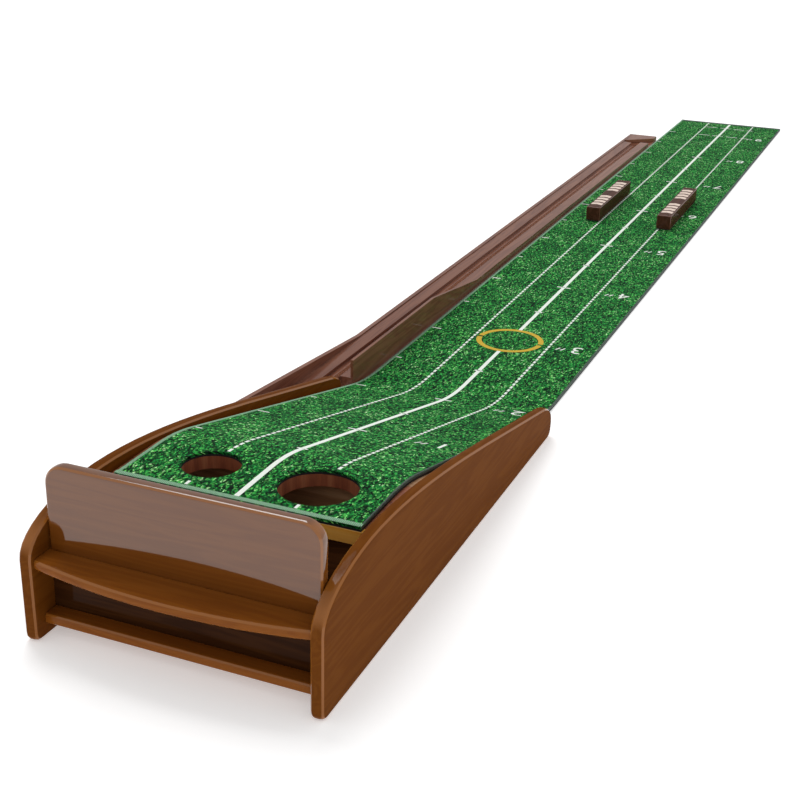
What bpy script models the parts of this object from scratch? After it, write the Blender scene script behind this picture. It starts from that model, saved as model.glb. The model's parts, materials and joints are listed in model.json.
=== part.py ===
# Practice putting mat: a low wooden box with a ramp and two cups, a printed
# turf mat that runs down the ramp and along the floor, a sectional ball-return
# track beside the mat, and two loose gate bars.  Metres, +Z up, +Y along the mat
# away from the box.  The origin is the bottom centre of the bounding box.
import math

import bmesh
import bpy
from mathutils import Vector

# ---- driving dimensions -------------------------------------------------
# fits
clearance = 0.0003            # gap kept between touching pieces
overcut = 0.010               # how far cutters reach past what they cut

# box
board_thickness = 0.015       # side panels, backstop and deck
box_inner_width = 0.302       # between the side panels
panel_lip = 0.009             # of the panels' highest point above the mat
panel_peak_distance = 0.130   # of that point from the panel front
panel_front_height = 0.092    # of the straight front edge
panel_tail_setback = 0.054    # of the tail's tip from the foot of the ramp
panel_tail_lips = (0.019, 0.030)   # of the left and right tails above the ramp's line
panel_tail_run = 0.036        # of the rounded tail
panel_toe_radius = 0.010      # lower front corner
panel_front_fullness = 0.55   # how far the front curve keeps upright and level
panel_crest_fullness = 0.40
panel_back_lead = 0.24        # how far the long back curve stays level
panel_back_knee = (0.58, 0.51)   # its lower control point, as shares of run and fall
panel_tip_share = 0.36        # height of the tail's tip, as a share of the tail
panel_tail_bulge = ((0.024, 0.006), (0.001, 0.016))   # tail's control points
panel_heel_bulge = ((0.001, 0.006), (0.004, 0.0), (0.016, 0.0))
edge_radius = 0.005           # lacquered boards' rounded edges
base_edge_radius = 0.004

# shelf, backstop and base
shelf_top_height = 0.093
shelf_thickness = 0.012
shelf_setback = 0.005         # of its ends from the panel fronts
shelf_bow = 0.017             # how far its middle stands forward of its ends
backstop_setback = 0.030
backstop_height = 0.094       # above the shelf
backstop_corner_radius = 0.022
base_setback = 0.015
base_top_height = 0.027
base_thickness = 0.012
compartment_back_thickness = 0.012

# deck and ramp
drop_gap = 0.089              # between the backstop and the deck, where balls fall
rail_depth = 0.008
rail_height = 0.016
deck_height = 0.128           # top of the deck boards
deck_length = 0.116           # level part, rail included
ramp_run = 0.520
ramp_thickness = 0.012
crest_easing = 0.035          # half the length of the rounded crest
foot_easing = 0.055           # half the length of the sweep onto the floor
ramp_end_height = 0.0066      # blunt lower end of the ramp board
cleat_size = 0.012
cleat_start = 0.060           # from the ramp's upper end
cleat_run = 0.300

# holes
hole_distance = 0.061         # of both centres from the mat's front edge
big_hole_diameter = 0.086
big_hole_offset = 0.066
small_hole_diameter = 0.065
small_hole_offset = -0.060
hole_sides = 48

# chute under the holes
fence_thickness = 0.012
chute_thickness = 0.006
chute_sideways_slope = 0.10
chute_lengthways_slope = 0.05
exit_sill_rise = 0.007        # of the exit's sill above the base board
exit_width = 0.050
exit_height = 0.048
exit_corner_radius = 0.006
chute_step = 0.002            # of the chute's low corner above the sill

# mat
mat_side_gap = 0.0095         # between the mat and each side panel
mat_floor_length = 2.291      # from the foot of the ramp to the far end
backing_thickness = 0.002
pile_thickness = 0.003

# return track
track_mat_gap = 0.0038        # between the track and the mat
track_start = 0.190           # from the panel fronts
track_joints = (1.150, 1.850, 2.545)   # ends of the three sections from the start
trough_exit_step = 0.013      # from the exit's sill down to the mat-side rim
trough_end_height = 0.0045    # trough bottom at the far end
trough_depth = 0.009          # from the mat-side rim to the trough bottom
outer_rim_rise = 0.0005       # the outer rim stands above the mat-side rim
outer_rim_width = 0.007
trough_ledge_drops = (0.0015, 0.0035)   # of the ledge's two edges below the mat-side rim
trough_flat = 0.008
trough_outer_slope = 0.020    # width of the ledge on the trough's outer side
trough_inner_slope = 0.017
guard_height = 0.060          # high outer cheek where balls leave the box
guard_length = 0.230
guard_fade = 0.500
guard_end_thickness = 0.008
cheek_height = 0.047          # mat-side cheek beyond the box's end
cheek_thickness = 0.0045
cheek_end = 0.875             # of its full height, from the track's start
cheek_fade = 0.215
joiner_foot = 0.004           # of the cheeks' undersides, inside the section
outlet_length = 0.098         # level part where the rim is cut away
outlet_throat = 0.009         # from there to the end block's diagonal
outlet_diagonal = 0.058
pin_spacing = 0.052
pin_length = 0.024
pin_height = 0.0070
pin_sides = 16
peg_distances = (0.110, 0.430)         # locating pegs from the track's start
peg_length = 0.018
peg_panel_depth = 0.008
peg_height = 0.008

# dowels, pins and pegs
pin_diameter = 0.006
dowel_length = 0.030
dowel_panel_depth = 0.009
shelf_dowel_insets = (0.011, 0.009)    # from the board's front and back edges
base_dowel_insets = (0.045, 0.070)
deck_dowel_insets = (0.030, 0.030)
fence_dowel_height = 0.022
fence_dowel_drop = 0.020      # of the upper one below the deck board
backstop_dowel_drop = 0.006   # below halfway up the part the panels cover

# gate bars
gate_width = 0.030
gate_height = 0.029
gate_length = 0.272
gate_pad_thickness = 0.0015
gate_pad_inset = 0.002
gate_distance = 1.684         # of their near ends from the mat's front edge
gate_left_offset = -0.076
gate_right_offset = 0.076
gate_edge_radius = 0.002

# ---- places worked out from them ----------------------------------------
half_inner = box_inner_width / 2
half_outer = half_inner + board_thickness
half_board = half_inner - clearance
half_mat = half_inner - mat_side_gap
backstop_back = backstop_setback + board_thickness
deck_front = backstop_back + drop_gap
deck_end = deck_front + deck_length
ramp_foot = deck_end + ramp_run
hole_y = deck_front + hole_distance
fence_front = deck_end + clearance
fence_back = fence_front + fence_thickness
mat_thickness = backing_thickness + pile_thickness + clearance
mat_end = ramp_foot + mat_floor_length
ramp_slope = (deck_height + clearance) / ramp_run
panel_length = ramp_foot - panel_tail_setback
panel_peak_height = deck_height + mat_thickness + panel_lip
panel_tail_foot = (panel_tail_setback + panel_tail_run) * ramp_slope
backstop_top_height = shelf_top_height + backstop_height
exit_sill_height = base_top_height + exit_sill_rise
trough_start_height = exit_sill_height - trough_exit_step - trough_depth
track_inner = -half_outer - clearance
track_outer = -half_outer - clearance - outer_rim_width - trough_outer_slope - trough_flat
track_outer = track_outer - trough_inner_slope
track_rim = -half_mat - track_mat_gap
track_end = track_start + track_joints[-1]
shelf_front = shelf_setback - shelf_bow
shelf_underside = shelf_top_height - shelf_thickness
deck_underside = deck_height - board_thickness
exit_back = fence_front - clearance
exit_front = exit_back - exit_width
origin = Vector(((track_outer + half_outer) / 2, (min(shelf_front, 0) + mat_end) / 2, 0))

materials = {}


def material(name, colour, roughness, metallic=0.0):
    if name not in materials:
        made = bpy.data.materials.new(name)
        made.use_nodes = True
        shader = made.node_tree.nodes["Principled BSDF"]
        shader.inputs["Base Color"].default_value = (*colour, 1)
        shader.inputs["Roughness"].default_value = roughness
        shader.inputs["Metallic"].default_value = metallic
        made.diffuse_color = (*colour, 1)
        materials[name] = made
    return materials[name]


def walnut():
    return material("walnut_lacquer", (0.150, 0.055, 0.018), 0.18)


def rail_wood():
    return material("rail_lacquer", (0.400, 0.150, 0.022), 0.25)


def bare_wood():
    return material("bare_wood", (0.330, 0.190, 0.095), 0.55)


def dowel_wood():
    return material("dowel_wood", (0.560, 0.400, 0.240), 0.60)


def rubber():
    return material("mat_rubber", (0.010, 0.010, 0.011), 0.70)


def turf():
    return material("mat_turf", (0.030, 0.170, 0.050), 0.85)


def felt():
    return material("gate_felt", (0.030, 0.028, 0.026), 0.90)


# ---- shape helpers -------------------------------------------------------
def bezier(points, steps):
    """Points along a Bezier curve of any degree, first point left out."""
    result = []
    for step in range(1, steps + 1):
        t = step / steps
        row = [Vector(point) for point in points]
        while len(row) > 1:
            row = [first.lerp(second, t) for first, second in zip(row, row[1:])]
        result.append(tuple(row[0]))
    return result


def arc(centre, radius, start, end, steps):
    """Points on an arc, both ends included, with the angles in degrees."""
    result = []
    for step in range(steps + 1):
        angle = math.radians(start + (end - start) * step / steps)
        result.append((centre[0] + radius * math.cos(angle), centre[1] + radius * math.sin(angle)))
    return result


def offset_path(points, distance):
    """A path moved sideways, to its left as it runs, by one distance."""
    result = []
    for index, point in enumerate(points):
        before = Vector(points[max(index - 1, 0)])
        after = Vector(points[min(index + 1, len(points) - 1)])
        here = Vector(point)
        normals = []
        for start, end in ((before, here), (here, after)):
            run = end - start
            if run.length > 0:
                normals.append(Vector((-run.y, run.x)).normalized())
        normal = (normals[0] + normals[-1]).normalized()
        stretch = 1 / normal.dot(normals[0])
        result.append(tuple(here + normal * distance * stretch))
    return result


def new_object(name, mesh_maker, look=None):
    """An object from a function that fills a bmesh in layout coordinates."""
    made = bmesh.new()
    mesh_maker(made)
    bmesh.ops.translate(made, vec=-origin, verts=made.verts)
    bmesh.ops.recalc_face_normals(made, faces=made.faces)
    mesh = bpy.data.meshes.new(name)
    made.to_mesh(mesh)
    made.free()
    solid = bpy.data.objects.new(name, mesh)
    bpy.context.scene.collection.objects.link(solid)
    if look:
        mesh.materials.append(look)
    return solid


def place(axis, along, across):
    """A point from a distance along an axis and the two other coordinates."""
    if axis == "X":
        return (along, across[0], across[1])
    if axis == "Y":
        return (across[0], along, across[1])
    return (across[0], across[1], along)


def draw_out(made, outline, axis, low, high):
    """Add an outline in the plane across an axis, drawn out from low to high."""
    corners = [made.verts.new(place(axis, low, point)) for point in outline]
    face = made.faces.new(corners)
    drawn = bmesh.ops.extrude_face_region(made, geom=[face])
    moved = [item for item in drawn["geom"] if isinstance(item, bmesh.types.BMVert)]
    shift = Vector(place(axis, high - low, (0, 0)))
    bmesh.ops.translate(made, vec=shift, verts=moved)


def prism(name, outline, axis, low, high, look=None):
    return new_object(name, lambda made: draw_out(made, outline, axis, low, high), look)


def block(name, low, high, look=None):
    outline = [(low[0], low[1]), (high[0], low[1]), (high[0], high[1]), (low[0], high[1])]
    return prism(name, outline, "Z", low[2], high[2], look)


def circle(across, diameter, sides):
    return arc(across, diameter / 2, 0, 360 * (sides - 1) / sides, sides - 1)


def rod(name, axis, low, high, across, diameter, sides, look=None):
    solid = prism(name, circle(across, diameter, sides), axis, low, high, look)
    solid.data.shade_smooth()
    solid.data.set_sharp_from_angle(angle=math.radians(40))
    return solid


def round_edges(solid, radius, steps, wanted):
    """Round the edges whose two ends, in layout coordinates, pass a test."""
    made = bmesh.new()
    made.from_mesh(solid.data)
    edges = []
    for edge in made.edges:
        first, second = (vert.co + origin for vert in edge.verts)
        if edge.calc_face_angle(0) > math.radians(45) and wanted(first, second):
            edges.append(edge)
    bmesh.ops.bevel(made, geom=edges, offset=radius, segments=steps, profile=0.5,
                    affect="EDGES", clamp_overlap=True)
    made.to_mesh(solid.data)
    made.free()
    solid.data.shade_smooth()
    solid.data.set_sharp_from_angle(angle=math.radians(40))


def combine(solid, tool, operation):
    tool.hide_render = True
    tool.display_type = "WIRE"
    step = solid.modifiers.new(operation.title() + " " + tool.name, "BOOLEAN")
    step.operation = operation
    step.solver = "EXACT"
    step.object = tool


class Drill:
    """Gathers each board's round bores, then cuts them all at once."""

    def __init__(self):
        self.bores = {}

    def mark(self, solids, axis, low, high, across):
        span = (low - clearance, high + clearance)
        for solid in solids:
            self.bores.setdefault(solid, []).append((axis, *span, across))

    def cut(self):
        for solid, bores in self.bores.items():
            def build(made):
                for axis, low, high, across in bores:
                    outline = circle(across, pin_diameter + 2 * clearance, pin_sides)
                    draw_out(made, outline, axis, low, high)
            combine(solid, new_object(solid.name + "_bore_cutter", build), "DIFFERENCE")


def near(value, target):
    return abs(value - target) < 1e-5


# ---- side panels ---------------------------------------------------------
def panel_outline(tail_lip):
    toe = panel_toe_radius
    tail_height = panel_tail_foot + tail_lip
    tail_top = (panel_length - panel_tail_run, tail_height)
    tail_tip = (panel_length, tail_height * panel_tip_share)
    peak = (panel_peak_distance, panel_peak_height)
    run = tail_top[0] - peak[0]
    fall = peak[1] - tail_top[1]
    shoulder = panel_peak_height - panel_front_height
    points = [(toe, 0)]
    points += bezier([(toe, 0), (0, 0), (0, toe)], 4)
    points.append((0, panel_front_height))
    points += bezier([(0, panel_front_height),
                      (0, panel_front_height + shoulder * panel_front_fullness),
                      (peak[0] * panel_crest_fullness, peak[1]), peak], 10)
    knee = panel_back_knee
    points += bezier([peak, (peak[0] + run * panel_back_lead, peak[1]),
                      (peak[0] + run * knee[0], tail_top[1] + fall * knee[1]), tail_top], 16)
    leave, arrive = panel_tail_bulge
    points += bezier([tail_top, (tail_top[0] + leave[0], tail_top[1] - leave[1]),
                      (panel_length + arrive[0], tail_tip[1] + arrive[1]), tail_tip], 6)
    points += bezier([tail_tip] + [(panel_length - back, rise) for back, rise in panel_heel_bulge],
                     5)
    return points


def side_panel(name, low, high, tail_lip):
    solid = prism(name, panel_outline(tail_lip), "X", low, high, walnut())
    round_edges(solid, edge_radius, 3,
                lambda a, b: near(a.x, b.x))
    return solid


def exit_window():
    """Rounded cutter for the ball exit in the left panel."""
    low = (exit_front, exit_sill_height)
    high = (exit_back, exit_sill_height + exit_height)
    r = exit_corner_radius
    outline = arc((high[0] - r, low[1] + r), r, -90, 0, 3)
    outline += arc((high[0] - r, high[1] - r), r, 0, 90, 3)
    outline += arc((low[0] + r, high[1] - r), r, 90, 180, 3)
    outline += arc((low[0] + r, low[1] + r), r, 180, 270, 3)
    return prism("exit_window_cutter", outline, "X", -half_outer - overcut,
                 -half_inner + overcut)


# ---- boards between the panels ------------------------------------------
def front_shelf():
    chord = half_board
    radius = (chord ** 2 + shelf_bow ** 2) / (2 * shelf_bow)
    spread = math.degrees(math.asin(chord / radius))
    centre = (0, shelf_front + radius)
    outline = arc(centre, radius, 270 - spread, 270 + spread, 20)
    outline += [(half_board, backstop_back), (-half_board, backstop_back)]
    solid = prism("front_shelf", outline, "Z", shelf_underside, shelf_top_height, walnut())
    round_edges(solid, edge_radius, 3,
                lambda a, b: near(a.z, b.z) and max(a.y, b.y) < shelf_setback + 1e-5)
    return solid


def backstop_board():
    low = shelf_top_height + clearance
    r = backstop_corner_radius
    outline = [(-half_board, low), (half_board, low)]
    outline += arc((half_board - r, backstop_top_height - r), r, 0, 90, 7)
    outline += arc((-half_board + r, backstop_top_height - r), r, 90, 180, 7)
    solid = prism("backstop_board", outline, "Y", backstop_setback, backstop_back, walnut())
    round_edges(solid, edge_radius, 3,
                lambda a, b: near(a.y, b.y) and max(a.z, b.z) > low + 1e-5)
    return solid


def bottom_board():
    solid = block("bottom_board", (-half_board, base_setback, base_top_height - base_thickness),
                  (half_board, deck_end, base_top_height), walnut())
    round_edges(solid, base_edge_radius, 3,
                lambda a, b: near(a.y, base_setback) and near(b.y, base_setback)
                and near(a.z, b.z))
    return solid


def compartment_back():
    return block("compartment_back",
                 (-half_board, backstop_back - compartment_back_thickness,
                  base_top_height + clearance),
                 (half_board, backstop_back, shelf_underside - clearance), walnut())


def chute_fence():
    return block("chute_fence", (-half_board, fence_front, 0),
                 (half_board, fence_back, ramp_underside(fence_back) - clearance), bare_wood())


def return_chute():
    """A tilted board: low at the left rear corner, where the exit is."""
    low_top = exit_sill_height + chute_step
    front = backstop_back + clearance
    back = fence_front - clearance

    def build(made):
        levels = []
        for thickness in (chute_thickness, 0):
            ring = []
            for x, y in ((-half_board, front), (half_board, front),
                         (half_board, back), (-half_board, back)):
                rise = (x + half_board) * chute_sideways_slope
                rise += (back - y) * chute_lengthways_slope
                ring.append(made.verts.new((x, y, low_top + rise - thickness)))
            levels.append(ring)
        made.faces.new(levels[0])
        made.faces.new(levels[1])
        for index in range(4):
            after = (index + 1) % 4
            made.faces.new((levels[0][index], levels[0][after],
                            levels[1][after], levels[1][index]))
    return new_object("return_chute", build, walnut())


# ---- deck, ramp and mat --------------------------------------------------
def deck_path():
    """Top line of the deck, the ramp and the floor, as (y, z) points."""
    crest_end = (deck_end + crest_easing, deck_height - crest_easing * ramp_slope)
    sweep_start = (ramp_foot - foot_easing, foot_easing * ramp_slope - clearance)
    points = [(deck_front, deck_height), (deck_end - crest_easing, deck_height)]
    points += bezier([points[-1], (deck_end, deck_height), crest_end], 8)
    points.append(sweep_start)
    points += bezier([sweep_start, (ramp_foot, -clearance),
                      (ramp_foot + foot_easing, -clearance)], 8)
    points.append((mat_end, -clearance))
    return points


def path_height(y):
    points = deck_path()
    for first, second in zip(points, points[1:]):
        if first[0] <= y <= second[0]:
            share = (y - first[0]) / (second[0] - first[0])
            return first[1] + (second[1] - first[1]) * share
    raise ValueError("outside the path")


def ramp_underside(y):
    """Height of the ramp board's lower face, a straight line."""
    line = deck_height - (y - deck_end) * ramp_slope
    return line - ramp_thickness * math.hypot(1, ramp_slope)


def hole_cutters():
    made = []
    for name, offset, diameter in (("big", big_hole_offset, big_hole_diameter),
                                   ("small", small_hole_offset, small_hole_diameter)):
        made.append(rod(name + "_hole_cutter", "Z", deck_underside - overcut,
                        deck_height + mat_thickness + overcut, (offset, hole_y), diameter,
                        hole_sides))
    return made


def plateau_board():
    rear = deck_end - clearance
    front = deck_front + rail_depth + clearance
    outline = [(front, deck_underside), (rear, deck_underside), (rear, path_height(rear))]
    crest = [point for point in deck_path() if front < point[0] < rear]
    outline += reversed(crest)
    outline.append((front, deck_height))
    return prism("plateau_board", outline, "X", -half_board, half_board, bare_wood())


def ramp_top():
    """The ramp board's top line, without its upper end."""
    start = deck_end + clearance
    return [point for point in deck_path() if point[0] > start and point[1] > ramp_end_height]


def ramp_board():
    start = deck_end + clearance
    top = ramp_top()
    last = top[-1]
    foot_y = deck_end + (deck_height - ramp_thickness * math.hypot(1, ramp_slope)) / ramp_slope
    outline = [(start, path_height(start))] + top
    outline.append((last[0], 0))
    if foot_y < last[0]:
        outline.append((foot_y, 0))
    outline.append((start, ramp_underside(start)))
    outline.reverse()
    return prism("ramp_board", outline, "X", -half_board, half_board, bare_wood())


def deck_front_rail():
    solid = block("deck_front_rail", (-half_board, deck_front, deck_height - rail_height),
                  (half_board, deck_front + rail_depth, deck_height), rail_wood())
    return solid


def ramp_cleat(name, low, high):
    start = deck_end + cleat_start
    end = start + cleat_run
    drop = clearance * math.hypot(1, ramp_slope)
    size = cleat_size * math.hypot(1, ramp_slope)
    outline = [(start, ramp_underside(start) - drop - size),
               (end, ramp_underside(end) - drop - size),
               (end, ramp_underside(end) - drop),
               (start, ramp_underside(start) - drop)]
    return prism(name, outline, "X", low, high, bare_wood())


def mat_layer(name, below, thickness, look):
    """A layer of the mat that follows the deck, the ramp and the floor."""
    lower = offset_path(deck_path(), below)
    upper = offset_path(deck_path(), below + thickness)
    return prism(name, lower + upper[::-1], "X", -half_mat, half_mat, look)


# ---- return track --------------------------------------------------------
def trough_height(y):
    share = (track_end - y) / (track_end - track_start)
    return trough_end_height + (trough_start_height - trough_end_height) * share


def track_section_outline(y):
    bottom = trough_height(y)
    rim = bottom + trough_depth
    outer = rim + outer_rim_rise
    x = track_outer
    high_edge, low_edge = trough_ledge_drops
    points = [(x, 0), (x, outer)]
    x += outer_rim_width
    points += [(x, outer), (x, rim - high_edge)]
    x += trough_outer_slope
    points += [(x, rim - low_edge), (x, bottom)]
    x += trough_flat
    points.append((x, bottom))
    x += trough_inner_slope
    points.append((x, rim))
    points += [(track_rim, rim), (track_rim, 0)]
    return points


def track_section(name, start, end):
    """A straight length of trough whose bottom falls towards its far end."""
    def build(made):
        rings = []
        for y in (start, end):
            ring = [made.verts.new((x, y, z)) for x, z in track_section_outline(y)]
            rings.append(ring)
            made.faces.new(ring)
        count = len(rings[0])
        for index in range(count):
            after = (index + 1) % count
            made.faces.new((rings[0][index], rings[0][after],
                            rings[1][after], rings[1][index]))
    return new_object(name, build, walnut())


def track_sections():
    ends = [track_start + length for length in track_joints]
    starts = [track_start] + [end + clearance for end in ends[:-1]]
    names = ("return_track_near", "return_track_middle", "return_track_far")
    return [track_section(name, start, end) for name, start, end in zip(names, starts, ends)]


def shape_near_section(section):
    """Narrow it beside the box and raise the cheeks that keep fast balls in."""
    box_end = max(panel_length, ramp_top()[-1][0]) + clearance
    slot = block("box_side_cutter", (track_inner, track_start - overcut, -overcut),
                 (track_rim + overcut, box_end, guard_height + overcut))
    combine(section, slot, "DIFFERENCE")
    guard_end = track_start + guard_length
    outer_cheek = prism("outer_cheek_joiner",
                        cheek_outline(track_start, guard_end, guard_fade, guard_height),
                        "X", track_outer, track_outer + outer_rim_width)
    combine(section, outer_cheek, "UNION")
    end_cheek = block("end_cheek_joiner", (track_outer, track_start, joiner_foot),
                      (track_inner, track_start + guard_end_thickness, guard_height))
    combine(section, end_cheek, "UNION")
    mat_cheek = prism("mat_cheek_joiner",
                      cheek_outline(box_end + clearance, track_start + cheek_end, cheek_fade,
                                    cheek_height),
                      "X", track_rim - cheek_thickness, track_rim)
    combine(section, mat_cheek, "UNION")


def cheek_outline(start, level_end, fade, height):
    """Side view of a cheek that is level, then slopes down to the rim."""
    end = level_end + fade
    rim = trough_height(end) + trough_depth
    return [(start, joiner_foot), (end, joiner_foot), (end, rim),
            (level_end, height), (start, height)]


def shape_far_section(section):
    """Cut the trough down to a level floor where balls leave it."""
    outlet = block("outlet_cutter",
                   (track_outer + outer_rim_width, track_end - outlet_length,
                    trough_end_height),
                   (track_rim + overcut, track_end + overcut, guard_height))
    combine(section, outlet, "DIFFERENCE")


def track_end_block():
    near_y = track_end - outlet_length + outlet_throat
    low = track_outer + outer_rim_width + clearance
    outline = [(low, near_y), (track_rim, near_y + outlet_diagonal),
               (track_rim, track_end), (low, track_end)]
    return prism("track_end_block", outline, "Z", trough_end_height + clearance,
                 trough_end_height + trough_depth + outer_rim_rise, walnut())


def pin_places():
    """The pins' x places: one under each rim of the track."""
    middle = (track_outer + track_rim) / 2
    return (middle - pin_spacing / 2, middle + pin_spacing / 2)


def track_pins(sections, drill):
    for number, (before, after) in enumerate(zip(sections, sections[1:]), start=1):
        joint = track_start + track_joints[number - 1]
        low = joint - pin_length / 2
        high = joint + pin_length / 2
        for side, x in zip(("left", "right"), pin_places()):
            drill.mark((before, after), "Y", low, high, (x, pin_height))
            rod("track_pin_%d_%s" % (number, side), "Y", low, high, (x, pin_height),
                pin_diameter, pin_sides, dowel_wood())


def track_pegs(section, panel, drill):
    """Pegs that locate the near section against the left side panel."""
    for label, distance in zip(("front", "rear"), peg_distances):
        tip = -half_outer + peg_panel_depth
        heel = tip - peg_length
        across = (track_start + distance, peg_height)
        drill.mark((panel, section), "X", heel, tip, across)
        rod("track_peg_" + label, "X", heel, tip, across, pin_diameter, pin_sides, dowel_wood())


# ---- dowels and gates ----------------------------------------------------
def dowel_joints(boards):
    """Board name and the (y, z) places of its dowels at each end."""
    shelf_z = shelf_top_height - shelf_thickness / 2
    base_z = base_top_height - base_thickness / 2
    deck_z = deck_height - board_thickness / 2
    fence_y = fence_front + fence_thickness / 2
    backstop_y = backstop_setback + board_thickness / 2
    backstop_z = (shelf_top_height + panel_peak_height) / 2 - backstop_dowel_drop
    shelf_inset, base_inset, deck_inset = shelf_dowel_insets, base_dowel_insets, deck_dowel_insets
    return (
        (boards["front_shelf"], "shelf", ((shelf_setback + shelf_inset[0], shelf_z),
                                          (backstop_back - shelf_inset[1], shelf_z))),
        (boards["backstop_board"], "backstop", ((backstop_y, backstop_z),)),
        (boards["bottom_board"], "base", ((base_setback + base_inset[0], base_z),
                                          (deck_end - base_inset[1], base_z))),
        (boards["chute_fence"], "fence", ((fence_y, fence_dowel_height),
                                          (fence_y, deck_underside - fence_dowel_drop))),
        (boards["plateau_board"], "deck", ((deck_front + deck_inset[0], deck_z),
                                           (deck_end - deck_inset[1], deck_z))),
    )


def dowels(panels, boards, drill):
    for board, label, places in dowel_joints(boards):
        for number, across in enumerate(places, start=1):
            for side, panel, sign in (("left", panels[0], -1), ("right", panels[1], 1)):
                tip = sign * (half_inner + dowel_panel_depth - clearance)
                heel = tip - sign * dowel_length
                low, high = sorted((tip, heel))
                drill.mark((panel, board), "X", low, high, across)
                rod("%s_dowel_%s_%d" % (label, side, number), "X", low, high, across,
                    pin_diameter, pin_sides, dowel_wood())


def gate(side, offset):
    """A loose bar with a felt pad under it, resting on the turf."""
    start = deck_front + gate_distance
    end = start + gate_length
    low = mat_thickness
    pad_top = low + clearance + gate_pad_thickness
    inset = gate_pad_inset
    block("gate_pad_" + side,
          (offset - gate_width / 2 + inset, start + inset, low + clearance),
          (offset + gate_width / 2 - inset, end - inset, pad_top), felt())
    bar = block("gate_block_" + side,
                (offset - gate_width / 2, start, pad_top + clearance),
                (offset + gate_width / 2, end, pad_top + clearance + gate_height), walnut())
    round_edges(bar, gate_edge_radius, 2, lambda a, b: True)
    return bar


def build_all():
    for old in list(bpy.data.objects):
        bpy.data.objects.remove(old, do_unlink=True)
    left = side_panel("side_panel_left", -half_outer, -half_inner, panel_tail_lips[0])
    right = side_panel("side_panel_right", half_inner, half_outer, panel_tail_lips[1])
    combine(left, exit_window(), "DIFFERENCE")
    boards = {}
    for maker in (front_shelf, backstop_board, bottom_board, chute_fence, plateau_board):
        board = maker()
        boards[board.name] = board
    compartment_back()
    return_chute()
    ramp_board()
    deck_front_rail()
    ramp_cleat("ramp_cleat_left", -half_board, -half_board + cleat_size)
    ramp_cleat("ramp_cleat_right", half_board - cleat_size, half_board)
    backing = mat_layer("mat_backing", clearance, backing_thickness, rubber())
    pile = mat_layer("mat_pile", 2 * clearance + backing_thickness, pile_thickness, turf())
    for cutter in hole_cutters():
        for sheet in (boards["plateau_board"], backing, pile):
            combine(sheet, cutter, "DIFFERENCE")
    sections = track_sections()
    shape_near_section(sections[0])
    shape_far_section(sections[2])
    track_end_block()
    drill = Drill()
    track_pins(sections, drill)
    track_pegs(sections[0], left, drill)
    dowels((left, right), boards, drill)
    drill.cut()
    gate("left", gate_left_offset)
    gate("right", gate_right_offset)


build_all()
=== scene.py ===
import json
import math

import bmesh
import bpy
from mathutils import Matrix, Vector, noise

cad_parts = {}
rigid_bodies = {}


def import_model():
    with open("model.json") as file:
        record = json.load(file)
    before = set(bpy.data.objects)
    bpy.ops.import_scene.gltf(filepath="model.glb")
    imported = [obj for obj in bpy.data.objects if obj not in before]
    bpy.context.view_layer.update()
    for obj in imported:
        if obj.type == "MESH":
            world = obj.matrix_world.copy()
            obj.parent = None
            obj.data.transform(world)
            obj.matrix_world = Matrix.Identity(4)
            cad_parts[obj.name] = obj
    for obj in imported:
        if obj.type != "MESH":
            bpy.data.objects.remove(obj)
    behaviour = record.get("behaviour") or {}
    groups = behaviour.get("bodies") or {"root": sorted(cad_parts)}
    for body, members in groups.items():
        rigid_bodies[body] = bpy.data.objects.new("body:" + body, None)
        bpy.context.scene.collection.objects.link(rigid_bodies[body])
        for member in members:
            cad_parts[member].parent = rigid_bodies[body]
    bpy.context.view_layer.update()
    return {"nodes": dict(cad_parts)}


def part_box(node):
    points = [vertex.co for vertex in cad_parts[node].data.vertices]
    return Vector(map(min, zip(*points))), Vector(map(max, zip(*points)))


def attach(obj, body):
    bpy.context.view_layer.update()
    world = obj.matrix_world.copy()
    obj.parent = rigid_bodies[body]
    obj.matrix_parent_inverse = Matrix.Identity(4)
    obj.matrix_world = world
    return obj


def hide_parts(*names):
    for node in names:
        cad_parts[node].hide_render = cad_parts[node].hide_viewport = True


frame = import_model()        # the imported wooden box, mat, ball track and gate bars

millimetre = 0.001
weldGap = 0.01 * millimetre        # points closer than this become one
flatAngle = math.radians(0.4)      # faces nearer to level than this become one


# Small helpers for working on one piece at a time

def pickOnly(*pieces):
    bpy.ops.object.select_all(action="DESELECT")
    for piece in pieces:
        piece.select_set(True)
    bpy.context.view_layer.objects.active = pieces[0]


def openMesh(piece):
    pickOnly(piece)
    bpy.ops.object.mode_set(mode="EDIT")
    bpy.ops.mesh.select_all(action="DESELECT")
    return bmesh.from_edit_mesh(piece.data)


def closeMesh(piece):
    bmesh.update_edit_mesh(piece.data)
    bpy.ops.object.mode_set(mode="OBJECT")


def applyModifiers(piece):
    pickOnly(piece)
    for modifier in list(piece.modifiers):
        bpy.ops.object.modifier_apply(modifier=modifier.name)


def settle(piece):
    # the place goes into the mesh, as it is on every piece of the frame
    pickOnly(piece)
    bpy.ops.object.transform_apply(location=True, rotation=True, scale=True)


def dress(piece, look, body, slot, *nodes):
    piece.data.materials.clear()
    piece.data.materials.append(look)
    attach(piece, body)
    if nodes:
        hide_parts(*nodes)


def smoothFlats(piece):
    # big flats stay flat in the gloss while the rounded edges run smoothly
    pickOnly(piece)
    bpy.ops.object.shade_smooth()
    weigh = piece.modifiers.new("flat faces", "WEIGHTED_NORMAL")
    weigh.weight = 100         # the widest face sets the direction
    applyModifiers(piece)


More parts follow.
